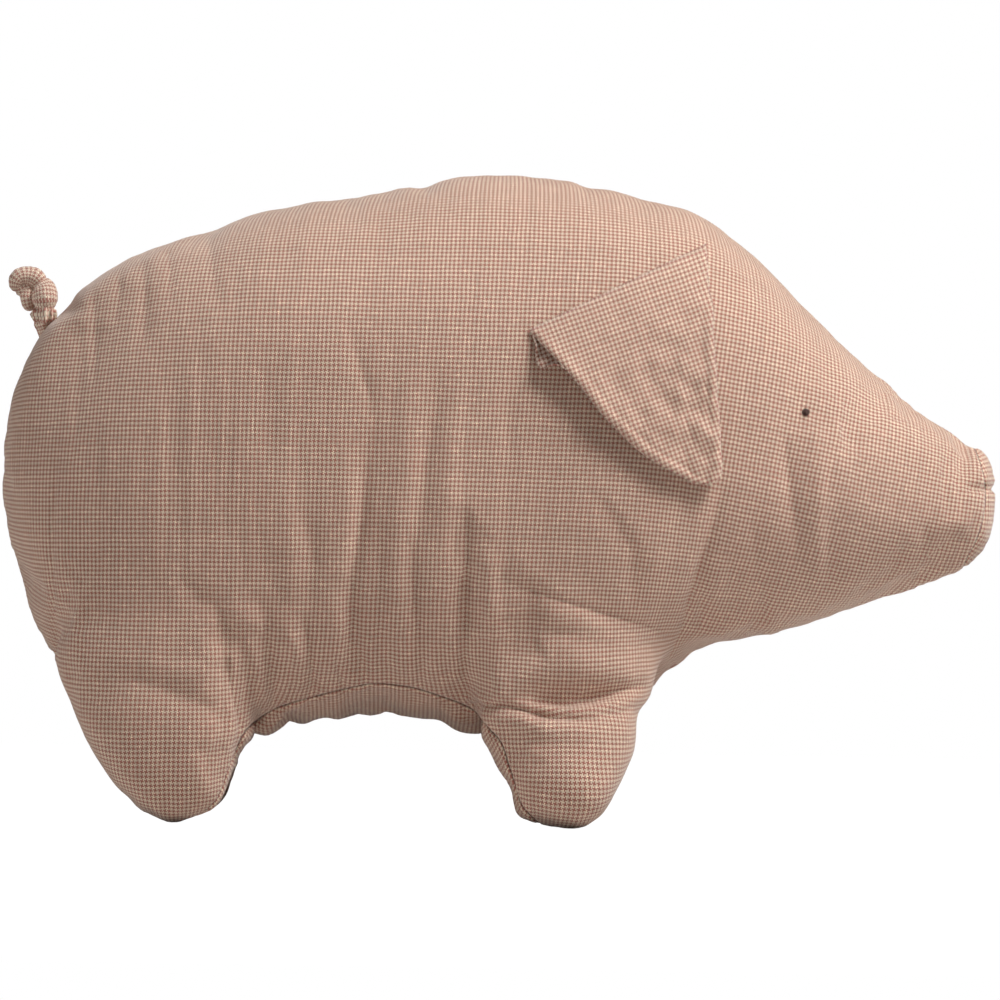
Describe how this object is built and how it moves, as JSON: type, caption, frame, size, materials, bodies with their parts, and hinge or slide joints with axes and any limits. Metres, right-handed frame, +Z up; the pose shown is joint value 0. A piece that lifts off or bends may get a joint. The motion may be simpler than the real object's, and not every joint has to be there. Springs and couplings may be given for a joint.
{
  "type": "plush pig",
  "caption": "Standing stuffed cloth pig with flap ears, a sewn snout disc, a belly gusset, short legs and a knotted tail.",
  "frame": {"origin": "on the floor under the middle of the toy's box", "axes": "+X towards the snout, +Z up, +Y towards the pig's left side"},
  "size_m": [0.4965, 0.1758, 0.3265],
  "materials": {
    "checked_cotton": "matt woven cotton, small red-brown and cream check",
    "ear_cotton": "matt woven cotton, the same check cut on the slant",
    "polyester_filling": "loose white fibre",
    "dark_thread": "dark brown cotton thread"
  },
  "bodies": {
    "stuffed_body": {"right_side_panel": "checked_cotton", "left_side_panel": "checked_cotton", "belly_gusset": "checked_cotton", "snout_disc": "checked_cotton", "front_right_leg_outer": "checked_cotton", "front_right_leg_inner": "checked_cotton", "front_right_leg_stuffing": "polyester_filling", "hind_right_leg_outer": "checked_cotton", "hind_right_leg_inner": "checked_cotton", "hind_right_leg_stuffing": "polyester_filling", "front_left_leg_outer": "checked_cotton", "front_left_leg_inner": "checked_cotton", "front_left_leg_stuffing": "polyester_filling", "hind_left_leg_outer": "checked_cotton", "hind_left_leg_inner": "checked_cotton", "hind_left_leg_stuffing": "polyester_filling", "torso_stuffing": "polyester_filling", "head_stuffing": "polyester_filling", "right_eye_knot": "dark_thread", "left_eye_knot": "dark_thread"},
    "right_ear": {"right_ear_outer": "ear_cotton", "right_ear_lining": "ear_cotton"},
    "left_ear": {"left_ear_outer": "ear_cotton", "left_ear_lining": "ear_cotton"},
    "tail": {"tail_tube": "checked_cotton"}
  },
  "joints": [
    {"name": "right_ear_fold", "type": "hinge", "parent": "stuffed_body", "child": "right_ear", "pos_m": [0.10638, -0.04871, 0.29573], "axis": [-0.8259, -0.3785, -0.4178], "range_deg": [0, 120]},
    {"name": "left_ear_fold", "type": "hinge", "parent": "stuffed_body", "child": "left_ear", "pos_m": [0.10638, 0.04871, 0.29573], "axis": [0.8259, -0.3785, 0.4178], "range_deg": [0, 120]},
    {"name": "tail_swing", "type": "hinge", "parent": "stuffed_body", "child": "tail", "pos_m": [-0.23637, 0, 0.24187], "axis": [0.5234, 0, 0.8521], "range_deg": [-45, 45], "stiffness_Nm_per_rad": 0.002}
  ]
}
